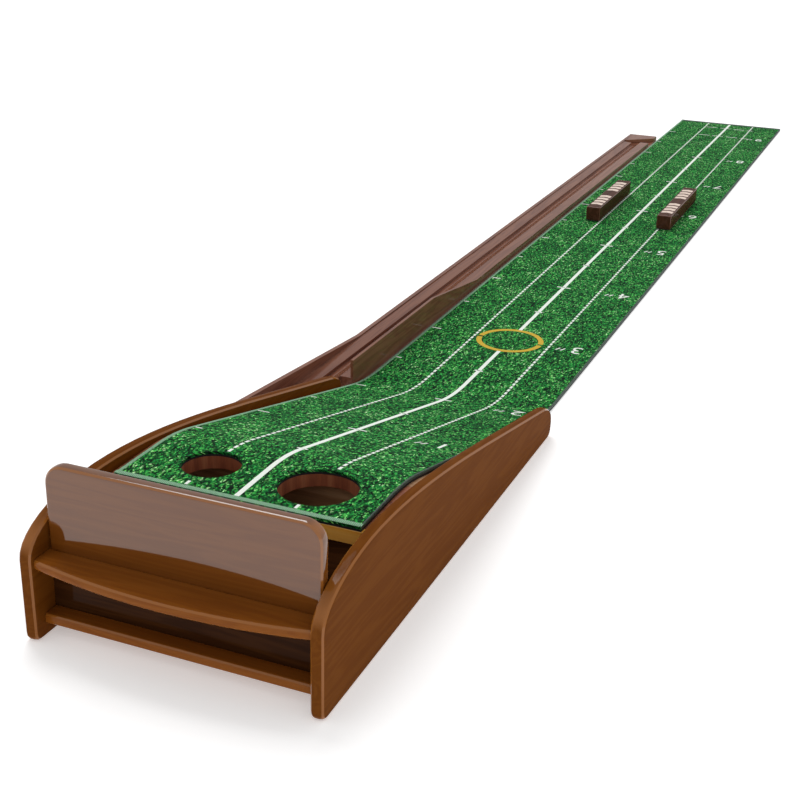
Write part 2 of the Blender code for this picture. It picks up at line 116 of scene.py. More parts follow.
def copyNode(nodeName, name):
    source = frame["nodes"][nodeName]
    pickOnly(source)
    bpy.ops.object.duplicate(linked=False)
    piece = bpy.context.view_layer.objects.active
    bpy.ops.object.parent_clear(type="CLEAR_KEEP_TRANSFORM")
    piece.name = name
    piece.data.name = name
    openMesh(piece)
    bpy.ops.mesh.select_all(action="SELECT")
    bpy.ops.mesh.remove_doubles(threshold=weldGap)
    bpy.ops.mesh.dissolve_limited(angle_limit=flatAngle)
    closeMesh(piece)
    return piece


def easeEdges(piece, width, segments, angle):
    rounding = piece.modifiers.new("eased edges", "BEVEL")
    rounding.width = width
    rounding.segments = segments
    rounding.limit_method = "ANGLE"
    rounding.angle_limit = math.radians(angle)
    rounding.harden_normals = False
    applyModifiers(piece)


# Building blocks for the finishes

def paint(code):
    # a hex colour as the shader's linear values
    values = []
    for start in (0, 2, 4):
        share = int(code[start:start + 2], 16) / 255
        values.append(share / 12.92 if share <= 0.04045 else ((share + 0.055) / 1.055) ** 2.4)
    return (*values, 1.0)


def newLook(name):
    look = bpy.data.materials.new(name)
    look.use_nodes = True
    tree = look.node_tree
    return look, tree, tree.nodes["Principled BSDF"]


def addNode(tree, kind, inputs=None, **settings):
    node = tree.nodes.new(kind)
    for key, value in settings.items():
        setattr(node, key, value)
    for key, value in (inputs or {}).items():
        if isinstance(value, bpy.types.NodeSocket):
            tree.links.new(value, node.inputs[key])
        else:
            node.inputs[key].default_value = value
    return node


def addRamp(tree, share, stops, smooth=False):
    node = addNode(tree, "ShaderNodeValToRGB", {"Fac": share})
    ramp = node.color_ramp
    if smooth:
        ramp.interpolation = "EASE"
    while len(ramp.elements) < len(stops):
        ramp.elements.new(0.5)
    for element, (position, tone) in zip(ramp.elements, stops):
        element.position = position
        element.color = paint(tone) if isinstance(tone, str) else (tone, tone, tone, 1)
    return node.outputs["Color"]


def addMath(tree, operation, first, second=0.0, clamp=False):
    node = addNode(tree, "ShaderNodeMath", {0: first, 1: second},
                   operation=operation, use_clamp=clamp)
    return node.outputs[0]


def blend(tree, share, first, second, mode="MIX"):
    node = addNode(tree, "ShaderNodeMix", data_type="RGBA", blend_type=mode)
    for key, value in ((0, share), (6, first), (7, second)):
        if isinstance(value, bpy.types.NodeSocket):
            tree.links.new(value, node.inputs[key])
        elif isinstance(value, str):
            node.inputs[key].default_value = paint(value)
        else:
            node.inputs[key].default_value = value
    return node.outputs[2]


def ownPlace(tree, scale=(1, 1, 1), turn=(0, 0, 0)):
    place = addNode(tree, "ShaderNodeTexCoord").outputs["Object"]
    mapped = addNode(tree, "ShaderNodeMapping", {"Vector": place, "Scale": scale, "Rotation": turn})
    return mapped.outputs[0]


def addNoise(tree, vector, scale, detail=2.0, rough=0.5, distortion=0.0):
    return addNode(tree, "ShaderNodeTexNoise",
                   {"Vector": vector, "Scale": scale, "Detail": detail, "Roughness": rough,
                    "Distortion": distortion}).outputs[0]


def addRelief(tree, shader, height, strength, depth):
    relief = addNode(tree, "ShaderNodeBump",
                     {"Height": height, "Strength": strength, "Distance": depth})
    tree.links.new(relief.outputs[0], shader.inputs["Normal"])


def edgeShare(tree, start, gain):
    # 0 on level and upright faces, rising to 1 where a rounded edge turns between them
    normal = addNode(tree, "ShaderNodeNewGeometry").outputs["Normal"]
    squared = addNode(tree, "ShaderNodeVectorMath", {0: normal, 1: normal},
                      operation="MULTIPLY").outputs[0]
    straight = addNode(tree, "ShaderNodeVectorMath", {0: squared, 1: squared},
                       operation="DOT_PRODUCT")
    bent = addMath(tree, "SUBTRACT", 1.0 - start, straight.outputs["Value"], clamp=True)
    return addMath(tree, "MULTIPLY", bent, gain, clamp=True)


woodSettings = {
    "stretch": 0.07,           # figure and pores run out along the board
    "figureSize": 34,          # all sizes are in cells to the metre
    "ringCount": 42.0,         # growth rings over the figure's whole range
    "ringShare": 0.35,         # the rings' part in the tone, against the broad drift
    "driftSize": 9,
    "poreSize": 620,
    "poreStrength": 0.04,
    "poreDepth": 0.0004,
    "roughness": (0.26, 0.42),
    "edgeStart": 0.14,         # how far a surface turns before it counts as an edge
    "edgeGain": 2.4,
    "edgeCoat": 0.9,
}


def lacqueredWood(name, along, tones, edgeHighlightTone, seed, coat=0.5, density=1.5, shine=0.06):
    # stained board under clear lacquer: soft figure, fine pores, and a painted highlight:
    # a lighter tone along the rounded edges, where the lacquer also gathers and shines most
    look, tree, shader = newLook(name)
    stretch = [1.0, 1.0, 1.0]
    stretch["XYZ".index(along)] = woodSettings["stretch"]
    place = ownPlace(tree, stretch)
    shifted = addNode(tree, "ShaderNodeVectorMath", {0: place, 1: (seed, seed * 0.7, seed * 1.3)},
                      operation="ADD").outputs[0]
    wander = addNoise(tree, shifted, woodSettings["figureSize"], 3, 0.55, 0.6)
    rings = addMath(tree, "SINE", addMath(tree, "MULTIPLY", wander, woodSettings["ringCount"]))
    rings = addNode(tree, "ShaderNodeMath", {0: rings, 1: 0.5, 2: 0.5},
                    operation="MULTIPLY_ADD").outputs[0]
    broad = addNoise(tree, shifted, woodSettings["driftSize"], 2, 0.5)
    figure = addMath(tree, "ADD", addMath(tree, "MULTIPLY", rings, woodSettings["ringShare"]),
                     addMath(tree, "MULTIPLY", broad, 1 - woodSettings["ringShare"]))
    colour = addRamp(tree, figure, [(0.25, tones[0]), (0.5, tones[1]), (0.75, tones[2])], smooth=True)
    pores = addNoise(tree, shifted, woodSettings["poreSize"], 3, 0.6)
    poreShade = addRamp(tree, pores, [(0.34, 0.90), (0.5, 1.0), (0.8, 1.02)])
    colour = blend(tree, 0.5, colour, poreShade, "MULTIPLY")
    edges = edgeShare(tree, woodSettings["edgeStart"], woodSettings["edgeGain"])
    # painted highlight: the rounded edges take the lighter edge tone
    colour = blend(tree, edges, colour, edgeHighlightTone)
    tree.links.new(colour, shader.inputs["Base Color"])
    smooth, rough = woodSettings["roughness"]
    gloss = addRamp(tree, broad, [(0.3, smooth), (0.7, rough)])
    tree.links.new(gloss, shader.inputs["Roughness"])
    gathered = addMath(tree, "MULTIPLY", edges, woodSettings["edgeCoat"])
    gathered = addMath(tree, "ADD", gathered, coat, clamp=True)
    tree.links.new(gathered, shader.inputs["Coat Weight"])
    shader.inputs["Coat Roughness"].default_value = shine
    shader.inputs["Specular IOR Level"].default_value = 0.0
    shader.inputs["Coat IOR"].default_value = density
    addRelief(tree, shader, pores, woodSettings["poreStrength"], woodSettings["poreDepth"])
    return look


bareSettings = {
    "stretch": 0.05,
    "figureSize": 60,
    "fibreSize": 900,
    "fibreStrength": 0.3,
    "fibreDepth": 0.0003,
    "roughness": (0.55, 0.8),
}


def bareWood(name, along, tones, seed):
    # unlacquered board: matt, open grain
    look, tree, shader = newLook(name)
    stretch = [1.0, 1.0, 1.0]
    stretch["XYZ".index(along)] = bareSettings["stretch"]
    place = ownPlace(tree, stretch)
    shifted = addNode(tree, "ShaderNodeVectorMath", {0: place, 1: (seed, seed, seed)},
                      operation="ADD").outputs[0]
    figure = addNoise(tree, shifted, bareSettings["figureSize"], 5, 0.6, 0.8)
    colour = addRamp(tree, figure, [(0.3, tones[0]), (0.5, tones[1]), (0.72, tones[2])])
    fibres = addNoise(tree, shifted, bareSettings["fibreSize"], 2, 0.6)
    fibreShade = addRamp(tree, fibres, [(0.35, 0.7), (0.6, 1.0)])
    colour = blend(tree, 0.6, colour, fibreShade, "MULTIPLY")
    tree.links.new(colour, shader.inputs["Base Color"])
    smooth, rough = bareSettings["roughness"]
    gloss = addRamp(tree, figure, [(0.3, smooth), (0.7, rough)])
    tree.links.new(gloss, shader.inputs["Roughness"])
    addRelief(tree, shader, fibres, bareSettings["fibreStrength"], bareSettings["fibreDepth"])
    return look


turfSettings = {
    "bladeSize": 430,          # cells to the metre across a blade
    "bladeStretch": 0.45,      # a blade's width against its length
    "leans": (-0.55, 0.62, 1.5),       # which way each third of the blades lies
    "leanSize": 190,           # clumps that lean alike, to the metre
    "patchSize": 16,
    "patchShare": 0.5,
    "greens": [(0.0, "02130C"), (0.2, "053019"), (0.42, "0B5A27"), (0.62, "1B8A3A"),
               (0.80, "3DB04A"), (0.93, "70CA62"), (1.0, "B8EBA8")],
    "gapPaintedShade": 0.15,
    "tuftSizes": (380, 150),   # clumps to the metre, light and dark
    "tuftShades": (0.62, 1.38),
    "bladeStrength": 0.55,
    "bladeDepth": 0.0012,
}


def turfCells(tree, place, lean, seed):
    turned = addNode(tree, "ShaderNodeMapping",
                     {"Vector": place, "Rotation": (0, 0, lean), "Location": (seed, seed * 2.3, 0),
                      "Scale": (1, turfSettings["bladeStretch"], 1)}).outputs[0]
    cells = addNode(tree, "ShaderNodeTexVoronoi",
                    {"Vector": turned, "Scale": turfSettings["bladeSize"]}, voronoi_dimensions="2D")
    return cells.outputs["Distance"], cells.outputs["Color"]


def turfLook():
    # short pile whose blades lean three ways, in mixed greens, with painted shade darkening the gaps
    # between them
    look, tree, shader = newLook("shortTurf")
    place = addNode(tree, "ShaderNodeUVMap", uv_map="UVMap").outputs[0]
    leans = [turfCells(tree, place, lean, 0.37 * (index + 1))
             for index, lean in enumerate(turfSettings["leans"])]
    clumps = addNoise(tree, place, turfSettings["leanSize"], 2, 0.6)
    first = addRamp(tree, clumps, [(0.44, 0.0), (0.5, 1.0)])
    second = addRamp(tree, clumps, [(0.54, 0.0), (0.6, 1.0)])
    gap = blend(tree, second, blend(tree, first, leans[0][0], leans[1][0]), leans[2][0])
    chance = blend(tree, second, blend(tree, first, leans[0][1], leans[1][1]), leans[2][1])
    chance = addNode(tree, "ShaderNodeSeparateColor", {"Color": chance}).outputs[0]
    patches = addNoise(tree, place, turfSettings["patchSize"], 4, 0.6)
    drift = addMath(tree, "MULTIPLY", addMath(tree, "SUBTRACT", patches, 0.5),
                    turfSettings["patchShare"])
    tone = addMath(tree, "ADD", chance, drift, clamp=True)
    colour = addRamp(tree, tone, turfSettings["greens"])
    # painted shade: the gaps between blades are darkened and the blade middles slightly lightened
    depth = addRamp(tree, gap, [(0.0, 1.1), (0.35, 1.0), (0.75, turfSettings["gapPaintedShade"])])
    colour = blend(tree, 0.85, colour, depth, "MULTIPLY")
    low, high = turfSettings["tuftShades"]
    for size in turfSettings["tuftSizes"]:
        tufts = addRamp(tree, addNoise(tree, place, size, 2, 0.6), [(0.38, low), (0.62, high)])
        colour = blend(tree, 1.0, colour, tufts, "MULTIPLY")
    tree.links.new(colour, shader.inputs["Base Color"])
    shader.inputs["Roughness"].default_value = 0.85
    shader.inputs["Specular IOR Level"].default_value = 0.10
    height = addMath(tree, "SUBTRACT", addMath(tree, "MULTIPLY", chance, 0.6), gap)
    addRelief(tree, shader, height, turfSettings["bladeStrength"], turfSettings["bladeDepth"])
    return look


dyeSettings = {
    "fibreSize": 620,
    "fibreStrength": 0.4,
    "fibreDepth": 0.0008,
}


def printLook(name, light, dark):
    # dye on the tips of the pile, so the fibres still show through it
    look, tree, shader = newLook(name)
    place = ownPlace(tree)
    fibres = addNoise(tree, place, dyeSettings["fibreSize"], 3, 0.7)
    colour = addRamp(tree, fibres, [(0.3, dark), (0.44, light)])
    tree.links.new(colour, shader.inputs["Base Color"])
    shader.inputs["Roughness"].default_value = 0.85
    shader.inputs["Specular IOR Level"].default_value = 0.2
    addRelief(tree, shader, fibres, dyeSettings["fibreStrength"], dyeSettings["fibreDepth"])
    return look


threadSettings = {
    "stitchSize": 155.0,
    "stitchWander": 1.2,
    "mottleSize": 240,
    "stitchStrength": 0.5,
    "stitchDepth": 0.0005,
}


def hemLook(name, tones):
    # close zigzag overlock stitching along the mat's edge
    look, tree, shader = newLook(name)
    place = addNode(tree, "ShaderNodeUVMap", uv_map="UVMap").outputs[0]
    threads = addNode(tree, "ShaderNodeTexWave",
                      {"Vector": place, "Scale": threadSettings["stitchSize"],
                       "Distortion": threadSettings["stitchWander"],
                       "Detail": 2.0, "Detail Scale": 2.0},
                      wave_type="BANDS", bands_direction="Y", wave_profile="SIN").outputs["Fac"]
    mottle = addNoise(tree, place, threadSettings["mottleSize"], 3, 0.6)
    colour = addRamp(tree, threads, [(0.0, tones[0]), (0.45, tones[1]), (1.0, tones[2])])
    mottleShade = addRamp(tree, mottle, [(0.3, 0.7), (0.6, 1.05)])
    colour = blend(tree, 0.7, colour, mottleShade, "MULTIPLY")
    tree.links.new(colour, shader.inputs["Base Color"])
    shader.inputs["Roughness"].default_value = 0.75
    addRelief(tree, shader, threads, threadSettings["stitchStrength"],
              threadSettings["stitchDepth"])
    return look


rubberSettings = {
    "grainSize": 700,
    "grainStrength": 0.4,
    "grainDepth": 0.0004,
}


def rubberLook():
    look, tree, shader = newLook("blackRubber")
    grain = addNoise(tree, ownPlace(tree), rubberSettings["grainSize"], 3, 0.6)
    colour = addRamp(tree, grain, [(0.3, "0E0E0F"), (0.7, "1F1F21")])
    tree.links.new(colour, shader.inputs["Base Color"])
    tree.links.new(addRamp(tree, grain, [(0.3, 0.6), (0.7, 0.85)]), shader.inputs["Roughness"])
    addRelief(tree, shader, grain, rubberSettings["grainStrength"], rubberSettings["grainDepth"])
    return look


feltSettings = {
    "fuzzSize": 1500,
    "fuzzStrength": 0.8,
    "fuzzDepth": 0.0004,
}


def feltLook():
    look, tree, shader = newLook("blackFelt")
    fuzz = addNoise(tree, ownPlace(tree), feltSettings["fuzzSize"], 4, 0.75, 0.6)
    tree.links.new(addRamp(tree, fuzz, [(0.3, "171615"), (0.7, "34302D")]), shader.inputs["Base Color"])
    shader.inputs["Roughness"].default_value = 0.95
    shader.inputs["Sheen Weight"].default_value = 0.4
    addRelief(tree, shader, fuzz, feltSettings["fuzzStrength"], feltSettings["fuzzDepth"])
    return look


amberEdgeHighlight = "94591F"           # painted highlight: a lighter tone along the box's rounded edges
panelTones = ("66370F", "6B3B11", "714014")
crossTones = ("693911", "6E3D12", "734115")
shelfTones = ("7D4516", "834A17", "894F1B")
# painted shade: the compartment back and the chute are stained darker than the box, standing in for the
# shade inside it
shadedInnerTones = ("2E180A", "351C0C", "3D220F")
# the track's brown, lightened and reddened towards mauve as a painted reflection of the pale room on
# its tops
trackTonesWithPaintedSheen = ("724636", "7E503D", "8A5B47")
gateTones = ("40241A", "4A2B1F", "533226")
# the rail's own pale amber, pushed brighter as painted light where the backstop's shadow falls on it
railTonesWithPaintedLight = ("EFAA48", "F6B854", "FBC468")
looks = {
    "panel": lacqueredWood("panelLacquer", "Y", panelTones, amberEdgeHighlight, 0.0, coat=0.06),
    "cross": lacqueredWood("crossBoardLacquer", "X", crossTones, amberEdgeHighlight, 1.7, coat=1.0,
                           density=1.72, shine=0.05),
    "shelf": lacqueredWood("shelfLacquer", "X", shelfTones, amberEdgeHighlight, 3.3, coat=0.22),
    "inner": lacqueredWood("paintedShadeInnerLacquer", "X", shadedInnerTones, "4A2A12", 2.6, coat=0.1),
    "track": lacqueredWood("trackLacquerWithPaintedSheen", "Y", trackTonesWithPaintedSheen, "8C5E46", 3.1, coat=0.6, shine=0.12),
    "gate": lacqueredWood("gateLacquer", "Y", gateTones, "74493A", 4.4, coat=0.25, shine=0.12),
    "rail": lacqueredWood("railLacquerWithPaintedLight", "X", railTonesWithPaintedLight, "FFD68A", 5.2),
    "ply": bareWood("barePly", "X", ("8F6440", "AC8058", "C39A70"), 0.4),
    "cup": bareWood("stainedPly", "Z", ("6E3320", "94502F", "AB6A45"), 0.9),
    "dowel": bareWood("beechDowel", "X", ("B08A5C", "C7A274", "D8B98D"), 2.2),
    "rubber": rubberLook(),
    "felt": feltLook(),
    "turf": turfLook(),
    "paleHem": hemLook("paleHemThread", ("527F5F", "78A985", "98C4A0")),
    # painted shade: the dark thread stands for the pale hem in shade on the right side, and for the far
    # hem's own grey
    "shadedAndGreyHem": hemLook("shadedAndGreyHemThread", ("2B3632", "414F49", "5A6962")),
    "white": printLook("whitePrint", "F4FAF2", "B9D6BC"),
    "yellow": printLook("yellowPrint", "D4B03C", "9C8427"),
    "cream": printLook("creamInlay", "EAD6C9", "D2B9A8"),
}
print("finishes mixed")


# Studio: pale floor, soft light, camera

studio = {
    "cameraPlace": (0.6346, -2.4390, 0.7497),
    "cameraTurn": 22.27,       # degrees round from straight along the mat
    "cameraDrop": 22.76,
    "cameraRoll": 1.372,
    "lens": 60.15,
    "sensorWidth": 36,
    "floorReach": 40.0,
    "floorGlow": 0.36,
    "worldStrength": 0.66,
    "sunStrength": 1.1,
    "sunSpread": 28,           # degrees across the soft light
    "sunTilt": (-24, -20),     # degrees from straight down: leans along the mat, then across it
}


def buildCamera():
    turn = math.radians(studio["cameraTurn"])
    drop = math.radians(studio["cameraDrop"])
    roll = math.radians(studio["cameraRoll"])
    back = Vector((math.sin(turn) * math.cos(drop), -math.cos(turn) * math.cos(drop),
                   math.sin(drop)))
    right = Vector((math.cos(turn), math.sin(turn), 0))
    up = back.cross(right)
    across = math.cos(roll) * right + math.sin(roll) * up
    upright = -math.sin(roll) * right + math.cos(roll) * up
    pose = Matrix((across, upright, back)).transposed()
    bpy.ops.object.camera_add(location=studio["cameraPlace"], rotation=pose.to_euler())
    camera = bpy.context.object
    camera.data.lens = studio["lens"]
    camera.data.sensor_width = studio["sensorWidth"]
    bpy.context.scene.camera = camera


def buildStage():
    bpy.ops.object.select_all(action="DESELECT")
    bpy.ops.mesh.primitive_plane_add(size=studio["floorReach"], location=(0, 0, 0))
    floor = bpy.context.object
    floor.name = "studioFloor"
    settle(floor)
    look, tree, shader = newLook("palePaper")
    grain = addNoise(tree, ownPlace(tree), 300, 3, 0.5)
    paper = addRamp(tree, grain, [(0.3, "F2F2F2"), (0.7, "F6F6F6")])
    tree.links.new(paper, shader.inputs["Base Color"])
    shader.inputs["Roughness"].default_value = 0.9
    shader.inputs["Specular IOR Level"].default_value = 0.1
    shader.inputs["Emission Color"].default_value = (1, 1, 1, 1)
    shader.inputs["Emission Strength"].default_value = studio["floorGlow"]
    floor.data.materials.append(look)
    world = bpy.data.worlds.new("softRoom")
    world.use_nodes = True
    background = world.node_tree.nodes["Background"]
    background.inputs["Color"].default_value = (1, 1, 1, 1)
    background.inputs["Strength"].default_value = studio["worldStrength"]
    bpy.context.scene.world = world
    bpy.context.scene.view_settings.view_transform = "Standard"


def buildSun():
    lean = [math.radians(angle) for angle in studio["sunTilt"]]
    bpy.ops.object.light_add(type="SUN", location=(0, 0, 4), rotation=(*lean, 0))
    sun = bpy.context.object
    sun.name = "softSun"
    sun.data.energy = studio["sunStrength"]
    sun.data.angle = math.radians(studio["sunSpread"])


buildCamera()
buildStage()
buildSun()
print("studio ready")


# Lacquered boards of the box

boardSettings = {
    "width": 0.0007,
    "segments": 2,
    "angle": 28,               # corners sharper than this are eased
}


def buildBoards():
    boards = (("side_panel_left", "sidePanelLeft", "panel"),
              ("side_panel_right", "sidePanelRight", "panel"),
              ("backstop_board", "backstopBoard", "cross"),
              ("front_shelf", "bowedShelf", "shelf"),
              ("bottom_board", "bottomBoard", "shelf"),
              # the compartment back and the chute take the darker look, as painted shade inside the box
              ("compartment_back", "compartmentBack", "inner"),
              ("return_chute", "tiltedChute", "inner"),
              ("deck_front_rail", "deckRail", "rail"))
    for nodeName, name, finish in boards:
        piece = copyNode(nodeName, name)
        easeEdges(piece, **boardSettings)
        smoothFlats(piece)
        slot = "rail_lacquer" if finish == "rail" else "walnut_lacquer"
        dress(piece, looks[finish], "box", slot, nodeName)


buildBoards()
print("box boards lacquered")


# Ball track, its end block, and the pins and pegs that join it

trackSettings = {"width": 0.0008, "segments": 2, "angle": 16}
blockSettings = {"width": 0.0008, "segments": 2, "angle": 20}
pinSettings = {"width": 0.0006, "segments": 2, "angle": 40}


def buildTrack():
    for part in ("near", "middle", "far"):
        nodeName = "return_track_" + part
        piece = copyNode(nodeName, "ballTrack" + part.capitalize())
        easeEdges(piece, **trackSettings)
        smoothFlats(piece)
        dress(piece, looks["track"], "track_" + part, "walnut_lacquer", nodeName)
    block = copyNode("track_end_block", "trackEndBlock")
    easeEdges(block, **blockSettings)
    smoothFlats(block)
    dress(block, looks["track"], "track_far", "walnut_lacquer", "track_end_block")


def buildPins():
    pins = {"track_pin_1_left": "track_near", "track_pin_1_right": "track_near",
            "track_pin_2_left": "track_middle", "track_pin_2_right": "track_middle",
            "track_peg_front": "track_near", "track_peg_rear": "track_near"}
    for nodeName, body in pins.items():
        words = nodeName.split("_")
        name = words[0] + "".join(word.capitalize() for word in words[1:])
        pin = copyNode(nodeName, name)
        easeEdges(pin, **pinSettings)
        smoothFlats(pin)
        dress(pin, looks["dowel"], body, "dowel_wood", nodeName)


buildTrack()
buildPins()
print("track built")


# Gate bars with an inlaid arrow pattern on top

gateSettings = {
    "edgeRadius": 0.0022,
    "edgeSegments": 4,
    "chevronRun": 0.021,       # each arrow's length along the bar
    "chevronStroke": 0.0160,
    "chevronHalfWidth": 0.0118,
    "chevronPitch": 0.0235,
    "chevrons": 4,
    "groups": (0.24, 0.74),    # middles of the two groups along the bar
    "rise": 0.00015,
}


def roundedBar(name, low, high):
    bpy.ops.object.select_all(action="DESELECT")
    middle = (Vector(low) + Vector(high)) / 2
    bpy.ops.mesh.primitive_cube_add(size=1, location=middle)
    bar = bpy.context.object
    bar.name = bar.data.name = name
    bar.scale = Vector(high) - Vector(low)
    settle(bar)
    openMesh(bar)
    bpy.ops.mesh.select_all(action="SELECT")
    bpy.ops.mesh.bevel(offset=gateSettings["edgeRadius"], segments=gateSettings["edgeSegments"],
                       affect="EDGES", profile=0.5)
    closeMesh(bar)
    smoothFlats(bar)
    return bar


def chevron(name, x, y, z):
    # a plane cut in two down its length, its middle pushed forward
    settings = gateSettings
    bpy.ops.object.select_all(action="DESELECT")
    bpy.ops.mesh.primitive_grid_add(x_subdivisions=2, y_subdivisions=1, size=1, location=(x, y, z))
    mark = bpy.context.object
    mark.name = mark.data.name = name
    mark.scale = (settings["chevronHalfWidth"] * 2, settings["chevronStroke"], 1)
    settle(mark)
    mesh = openMesh(mark)
    for vertex in mesh.verts:
        vertex.select = abs(vertex.co.x - x) < 0.1 * millimetre
    mesh.select_flush(True)
    bpy.ops.transform.translate(value=(0, settings["chevronRun"] - settings["chevronStroke"], 0))
    closeMesh(mark)
    return mark


def buildGates():
    for side in ("left", "right"):
        low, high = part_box("gate_block_" + side)
        body = "gate_" + side
        bar = roundedBar("gateBar" + side.capitalize(), low, high)
        dress(bar, looks["gate"], body, "walnut_lacquer", "gate_block_" + side)
        marks = []
        middle = (low.x + high.x) / 2
        run = high.y - low.y
        for group in gateSettings["groups"]:
            for step in range(gateSettings["chevrons"]):
                place = step - (gateSettings["chevrons"] - 1) / 2
                y = low.y + run * group + place * gateSettings["chevronPitch"]
                marks.append(chevron("gateArrow", middle, y, high.z + gateSettings["rise"]))
        pickOnly(*marks)
        bpy.ops.object.join()
        inlay = marks[0]
        inlay.name = inlay.data.name = "gateInlay" + side.capitalize()
        settle(inlay)
        dress(inlay, looks["cream"], body, "walnut_lacquer")


buildGates()
print("gate bars built")


# The mat: pile, hems and print all follow one line over the deck, down the ramp and along the floor

matSettings = {
    "across": 84,              # cells of the pile's grid
    "along": 868,
    "thickness": 0.0029,
    "napHeight": 0.00022,
    "napSizes": (190, 420),            # broad and fine waves of the nap, to the metre
    "fineNap": 0.6,
    "sideHems": (0.0045, 0.0020),      # left, right
    "frontHem": 0.007,
    "farHem": 0.014,
    # side hem's crown as (share of its width in from the edge, rise), then its side as (out, rise)
    "hemCrown": ((1.0, 0.0001), (0.85, 0.0005), (0.5, 0.0006), (0.15, 0.0004)),
    "hemSide": ((0.0001, -0.0003), (0.0003, -0.0012), (0.0002, -0.0028)),
    "endHemRise": (0.0002, 0.0005),    # at its edges, and how far its crown stands above them
    "tape": 0.0003,
    "sideRows": 600,
    "endColumns": 60,
}
holeSettings = {
    "bigRadius": 0.043, "bigAcross": 0.066,
    "smallRadius": 0.0325, "smallAcross": -0.060,
    "along": 0.061,
    "margin": 0.006,           # from the rim to the square of cells that comes out
    "rings": 4,
}


def readMatLine():
    # top line of the mat's solid as (y, z), front to far end
    mesh = frame["nodes"]["mat_pile"].data
    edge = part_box("mat_pile")[1].x
    found = set()
    for face in mesh.polygons:
        if face.normal.z < 0.5:
            continue
        for index in face.vertices:
            spot = mesh.vertices[index].co
            if abs(spot.x - edge) < 0.1 * millimetre:
                found.add((round(spot.y, 6), round(spot.z, 6)))
    return [Vector(point) for point in sorted(found)]


class MatLine:
    # places things by their distance along the mat, across it, and above the pile
    def __init__(self):
        self.points = readMatLine()
        low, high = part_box("mat_pile")
        self.middle = (low.x + high.x) / 2
        self.halfWidth = (high.x - low.x) / 2
        self.reach = [0.0]
        for first, second in zip(self.points, self.points[1:]):
            self.reach.append(self.reach[-1] + (second - first).length)
        self.length = self.reach[-1]
        self.headings = [self.headingAt(index) for index in range(len(self.points))]

    def headingAt(self, index):
        # the longer neighbour counts for more, so straight runs stay straight
        total = Vector((0, 0))
        if index > 0:
            total += self.points[index] - self.points[index - 1]
        if index < len(self.points) - 1:
            total += self.points[index + 1] - self.points[index]
        return total.normalized()

    def spot(self, across, along, rise=0.0):
        along = min(max(along, 0.0), self.length)
        index = 0
        while index < len(self.reach) - 2 and self.reach[index + 1] < along:
            index += 1
        run = self.reach[index + 1] - self.reach[index]
        t = (along - self.reach[index]) / run
        first, second = self.points[index], self.points[index + 1]
        leave, arrive = self.headings[index] * run, self.headings[index + 1] * run
        place = ((2 * t ** 3 - 3 * t ** 2 + 1) * first + (t ** 3 - 2 * t ** 2 + t) * leave
                 + (3 * t ** 2 - 2 * t ** 3) * second + (t ** 3 - t ** 2) * arrive)
        heading = self.headings[index].lerp(self.headings[index + 1], t).normalized()
        return Vector((self.middle + across, place.x - heading.y * rise, place.y + heading.x * rise))


matLine = MatLine()
print("mat is", round(matLine.length, 3), "m along its top")


def layOnMat(piece):
    # a flat piece drawn with x across, y along and z above the pile is laid on the mat
    for vertex in piece.data.vertices:
        vertex.co = matLine.spot(vertex.co.x, vertex.co.y, vertex.co.z)
    piece.data.update()


def unwrap(piece, spread):
    # the pattern follows each corner's place while the piece is still flat
    layer = piece.data.uv_layers.active
    for loop in piece.data.loops:
        layer.data[loop.index].uv = spread(piece.data.vertices[loop.vertex_index].co)


def flatGrid(name, low, high, columns, rows):
    bpy.ops.object.select_all(action="DESELECT")
    bpy.ops.mesh.primitive_grid_add(x_subdivisions=columns, y_subdivisions=rows, size=1)
    grid = bpy.context.object
    grid.name = grid.data.name = name
    size = Vector(high) - Vector(low)
    for vertex in grid.data.vertices:
        vertex.co = Vector((low[0] + (vertex.co.x + 0.5) * size.x,
                            low[1] + (vertex.co.y + 0.5) * size.y, 0))
    unwrap(grid, lambda spot: (spot.x, spot.y))
    return grid


def openHole(piece, size):
    # a square of cells comes out, then its edge is drawn in ring by ring to a round rim
    across = holeSettings[size + "Across"]
    radius = holeSettings[size + "Radius"]
    along = holeSettings["along"]
    reach = radius + holeSettings["margin"]
    mesh = openMesh(piece)
    for face in mesh.faces:
        middle = face.calc_center_median()
        if abs(middle.x - across) < reach and abs(middle.y - along) < reach:
            face.select = True
    bpy.ops.mesh.delete(type="FACE")
    mesh = bmesh.from_edit_mesh(piece.data)
    for edge in mesh.edges:
        middle = (edge.verts[0].co + edge.verts[1].co) / 2
        away = max(abs(middle.x - across), abs(middle.y - along))
        if edge.is_boundary and away < reach * 1.1:
            edge.select = True
    bmesh.update_edit_mesh(piece.data)
    for ring in range(holeSettings["rings"], 0, -1):
        bpy.ops.mesh.extrude_region_move(TRANSFORM_OT_translate={"value": (0, 0, 0)})
        mesh = bmesh.from_edit_mesh(piece.data)
        for vertex in mesh.verts:
            if vertex.select:
                spoke = Vector((vertex.co.x - across, vertex.co.y - along))
                spoke = spoke.lerp(spoke.normalized() * radius, 1 / ring)
                vertex.co = Vector((across + spoke.x, along + spoke.y, 0))
        bmesh.update_edit_mesh(piece.data)
    closeMesh(piece)


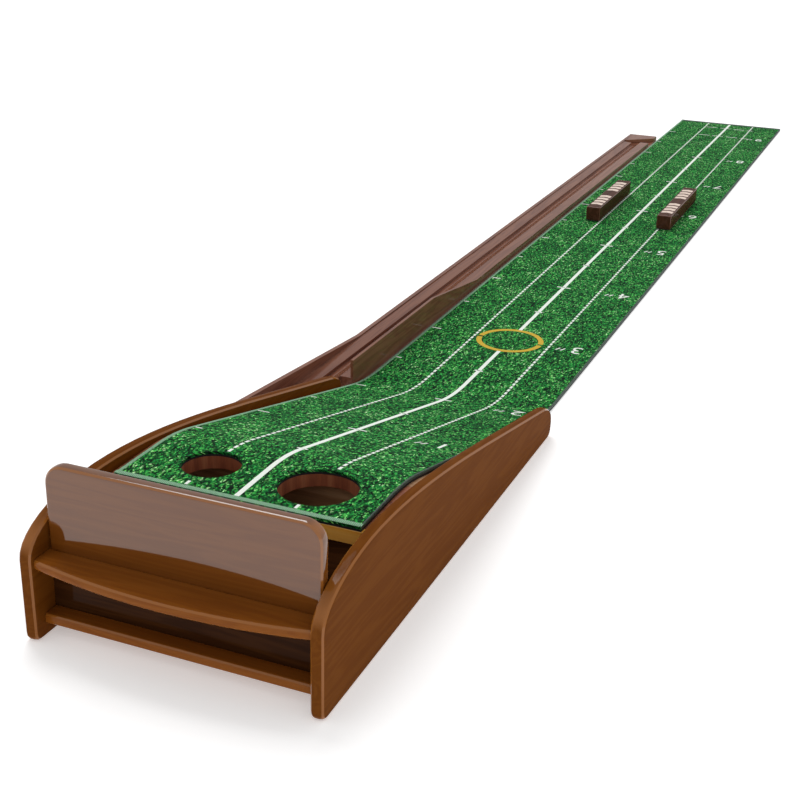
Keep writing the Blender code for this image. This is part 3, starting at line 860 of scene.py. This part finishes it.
def buildPile():
    settings = matSettings
    half = matLine.halfWidth
    pile = flatGrid("turfPile", (-half, 0), (half, matLine.length),
                    settings["across"], settings["along"])
    openHole(pile, "big")
    openHole(pile, "small")
    mesh = openMesh(pile)
    for edge in mesh.edges:
        if edge.is_boundary:
            edge.select = True
    drop = (0, 0, -settings["thickness"])
    bpy.ops.mesh.extrude_region_move(TRANSFORM_OT_translate={"value": drop})
    closeMesh(pile)
    unwrap(pile, lambda spot: (spot.x + spot.z, spot.y + spot.z))
    broad, fine = settings["napSizes"]
    for vertex in pile.data.vertices:
        if vertex.co.z > -0.5 * settings["thickness"]:
            nap = noise.noise(vertex.co * broad) + settings["fineNap"] * noise.noise(vertex.co * fine)
            vertex.co.z += settings["napHeight"] * nap
    layOnMat(pile)
    pickOnly(pile)
    bpy.ops.object.mode_set(mode="EDIT")
    bpy.ops.mesh.select_all(action="SELECT")
    bpy.ops.mesh.normals_make_consistent(inside=False)
    bpy.ops.object.mode_set(mode="OBJECT")
    bpy.ops.object.shade_smooth_by_angle(angle=math.radians(40))
    dress(pile, looks["turf"], "box", "mat_turf", "mat_pile")
    return pile


def ribbon(name, profile, low, high, rows):
    # a strip whose cross section is the profile, as (across, rise) pairs, run along the mat
    strip = flatGrid(name, (0, low), (len(profile) - 1, high), len(profile) - 1, rows)
    for vertex in strip.data.vertices:
        across, rise = profile[round(vertex.co.x)]
        vertex.co = Vector((across, vertex.co.y, rise))
    unwrap(strip, lambda spot: (spot.x, spot.y))
    layOnMat(strip)
    return strip


def buildHems():
    settings = matSettings
    half = matLine.halfWidth
    end = matLine.length
    made = []
    for name, sign, width in zip(("hemLeft", "hemRight"), (-1, 1), settings["sideHems"]):
        profile = [(half - width * share, rise) for share, rise in settings["hemCrown"]]
        profile += [(half + out, rise) for out, rise in settings["hemSide"]]
        profile = [(sign * across, rise) for across, rise in profile]
        if sign < 0:
            profile.reverse()
        made.append(ribbon(name, profile, 0.0, end, settings["sideRows"]))
    base, crown = settings["endHemRise"]
    for name, low, high, rows in (("hemFront", 0.0, settings["frontHem"], 6),
                                  ("hemFar", end - settings["farHem"], end, 8)):
        strip = flatGrid(name, (-half, low), (half, high), settings["endColumns"], rows)
        for vertex in strip.data.vertices:
            share = (vertex.co.y - low) / (high - low)
            vertex.co.z = base + crown * max(0.0, math.sin(math.pi * share)) ** 0.5
        unwrap(strip, lambda spot: (spot.y, spot.x))
        layOnMat(strip)
        made.append(strip)
    for strip in made:
        backing = strip.modifiers.new("tape", "SOLIDIFY")
        backing.thickness = settings["tape"]
        backing.offset = -1
        applyModifiers(strip)
        pickOnly(strip)
        bpy.ops.object.shade_smooth_by_angle(angle=math.radians(60))
        # the right hem is the pale hem's thread in painted shade; the far hem takes the same dark grey
        # as its own colour
        finish = "shadedAndGreyHem" if strip.name in ("hemRight", "hemFar") else "paleHem"
        dress(strip, looks[finish], "box", "mat_turf")
    return made


printSettings = {
    "foot": 0.3048,
    "start": 0.004,            # where the feet are counted from
    "rise": 0.00035,
    "rowLength": 0.006,
    "centreWidth": 0.006,
    "guideWidth": 0.0036,
    "dashPitch": 0.0127,
    "dashLength": 0.0088,
    "dashGap": 0.001,
    "holeGap": 0.0006,
    "ringAlong": 0.915,
    "ringOuter": 0.0544,
    "ringInner": 0.0458,
    "ringGap": 6,              # degrees left open at either side
    "numberAcross": 0.111,
    "numberSize": 0.0414,
    "footMarks": (-0.0215, -0.0295),   # the two strokes' places beside each number
    "footMarkHalf": (0.0014, 0.0055),
    "footMarkDrop": 0.006,
    "footMarkLean": 0.45,
    "bendCuts": 14,            # the number on the ramp's foot is cut this finely to bend
    "bendPitch": 0.004,
    "tickWidth": 0.004,
    "tickReach": (0.0065, 0.0125),     # either side of the centre line, at half and whole feet
    "edgeTick": (0.009, 0.016),
    "edgeTickStart": 0.005,
    "edgeTickShare": 0.8,      # thinner than a centre tick
    "lastTick": 0.05,          # ticks stop this far from the end
    "crossWidth": 0.0034,
    "crossDash": 0.030,
    "crossPitch": 0.038,
    "crossLeft": -0.055,
    "crossRight": (0.080, 0.075),      # at the ninth foot, and on the line beyond it
    "lastCross": 0.075,
}


def printStrip(name, low, high):
    rows = max(1, round((high[1] - low[1]) / printSettings["rowLength"]))
    return flatGrid(name, low, high, 1, rows)


def joinPrint(name, parts, finish):
    pickOnly(*parts)
    bpy.ops.object.join()
    mark = parts[0]
    mark.name = mark.data.name = name
    for vertex in mark.data.vertices:
        vertex.co.z = printSettings["rise"]
    layOnMat(mark)
    dress(mark, looks[finish], "box", "mat_turf")
    return mark


def centreLines():
    settings = printSettings
    half = settings["centreWidth"] / 2
    nearRing = settings["ringAlong"] - settings["ringOuter"]
    farRing = settings["ringAlong"] + settings["ringOuter"]
    end = matLine.length - matSettings["farHem"]
    parts = [printStrip("line", (-half, matSettings["frontHem"]), (half, nearRing)),
             printStrip("line", (-half, farRing), (half, end))]
    return joinPrint("centreLine", parts, "white")


def guideLines(name, size):
    # dashes from the front hem to the far one, left out over the hole
    settings = printSettings
    across = holeSettings[size + "Across"]
    rim = holeSettings[size + "Radius"] + settings["holeGap"]
    half = settings["guideWidth"] / 2
    parts = []
    along = matSettings["frontHem"] + settings["dashGap"]
    while along < matLine.length - matSettings["farHem"] - settings["dashLength"]:
        end = along + settings["dashLength"]
        if end < holeSettings["along"] - rim or along > holeSettings["along"] + rim:
            parts.append(flatGrid("dash", (across - half, along), (across + half, end), 1, 2))
        along += settings["dashPitch"]
    return joinPrint(name, parts, "white")


def ringArcs():
    settings = printSettings
    parts = []
    for start in (0, 180):
        low = math.radians(start + settings["ringGap"] / 2)
        high = math.radians(start + 180 - settings["ringGap"] / 2)
        arc = flatGrid("arc", (settings["ringInner"], low), (settings["ringOuter"], high), 2, 48)
        for vertex in arc.data.vertices:
            radius, angle = vertex.co.x, vertex.co.y
            vertex.co.x = radius * math.cos(angle)
            vertex.co.y = settings["ringAlong"] + radius * math.sin(angle)
        parts.append(arc)
    return joinPrint("yellowRing", parts, "yellow")


def ticks():
    settings = printSettings
    parts = []
    half = settings["tickWidth"] / 2
    thin = half * settings["edgeTickShare"]
    start = settings["edgeTickStart"] - matLine.halfWidth
    for step in range(1, 19):
        along = settings["start"] + settings["foot"] * step / 2
        if along > matLine.length - settings["lastTick"]:
            break
        whole = step % 2 == 0
        inRing = abs(along - settings["ringAlong"]) < settings["ringOuter"]
        if not inRing:
            reach = settings["tickReach"][whole]
            parts.append(flatGrid("tick", (-reach, along - half), (reach, along + half), 2, 1))
        length = settings["edgeTick"][whole]
        parts.append(flatGrid("tick", (start, along - thin), (start + length, along + thin), 2, 1))
    return joinPrint("footTicks", parts, "white")


def numbers():
    settings = printSettings
    halfAcross, halfAlong = settings["footMarkHalf"]
    parts = []
    for value in range(1, 10):
        along = settings["start"] + settings["foot"] * value
        bpy.ops.object.select_all(action="DESELECT")
        bpy.ops.object.text_add(location=(0, 0, 0))
        digit = bpy.context.object
        digit.data.body = str(value)
        digit.data.align_x = "CENTER"
        digit.data.align_y = "CENTER"
        digit.data.size = settings["numberSize"]
        bpy.ops.object.convert(target="MESH")
        digit = bpy.context.object
        digit.rotation_euler = (0, 0, math.pi)
        digit.location = (settings["numberAcross"], along, 0)
        settle(digit)
        parts.append(digit)
        for offset in settings["footMarks"]:
            stroke = flatGrid("stroke", (-halfAcross, -halfAlong), (halfAcross, halfAlong), 1, 2)
            for vertex in stroke.data.vertices:
                lean = vertex.co.y * settings["footMarkLean"]
                vertex.co = Vector((settings["numberAcross"] + offset + vertex.co.x + lean,
                                    along - settings["footMarkDrop"] + vertex.co.y, 0))
            parts.append(stroke)
    for part in parts:
        while part.data.uv_layers:
            part.data.uv_layers.remove(part.data.uv_layers[0])
    pickOnly(*parts)
    bpy.ops.object.join()
    joined = parts[0]
    openMesh(joined)
    cuts = settings["bendCuts"]
    for step in range(cuts):
        bpy.ops.mesh.select_all(action="SELECT")
        place = settings["start"] + settings["foot"] * 2 + (step - cuts // 2) * settings["bendPitch"]
        bpy.ops.mesh.bisect(plane_co=(0, place, 0), plane_no=(0, 1, 0))
    closeMesh(joined)
    return joinPrint("footNumbers", [joined], "white")


def distanceLines():
    # two dashed lines across the mat: at the ninth foot, and near the end
    settings = printSettings
    parts = []
    half = settings["crossWidth"] / 2
    ninthFoot = settings["start"] + settings["foot"] * 9
    lastLine = matLine.length - settings["lastCross"]
    for along, stop in zip((ninthFoot, lastLine), settings["crossRight"]):
        x = settings["crossLeft"]
        while x < stop:
            end = min(x + settings["crossDash"], stop)
            parts.append(flatGrid("crossDash", (x, along - half), (end, along + half), 3, 1))
            x += settings["crossPitch"]
    return joinPrint("distanceLines", parts, "white")


pile = buildPile()
print("pile laid,", len(pile.data.polygons), "faces")
hems = buildHems()
marks = [centreLines(), guideLines("guideLineLeft", "small"), guideLines("guideLineRight", "big"),
         ringArcs(), ticks(), numbers(), distanceLines()]
print("mat printed")


# What stays as the frame has it gets its finish here

def dressFrame():
    for nodeName, node in frame["nodes"].items():
        if nodeName.startswith("gate_pad"):
            finish = "felt"
        elif "dowel" in nodeName:
            finish = "dowel"
        elif nodeName == "mat_backing":
            finish = "rubber"
        elif nodeName == "plateau_board":
            finish = "cup"
        elif nodeName in ("ramp_board", "chute_fence", "ramp_cleat_left", "ramp_cleat_right"):
            finish = "ply"
        else:
            continue
        for slot in node.material_slots:
            slot.material = looks[finish]


dressFrame()
print("inner pieces finished")
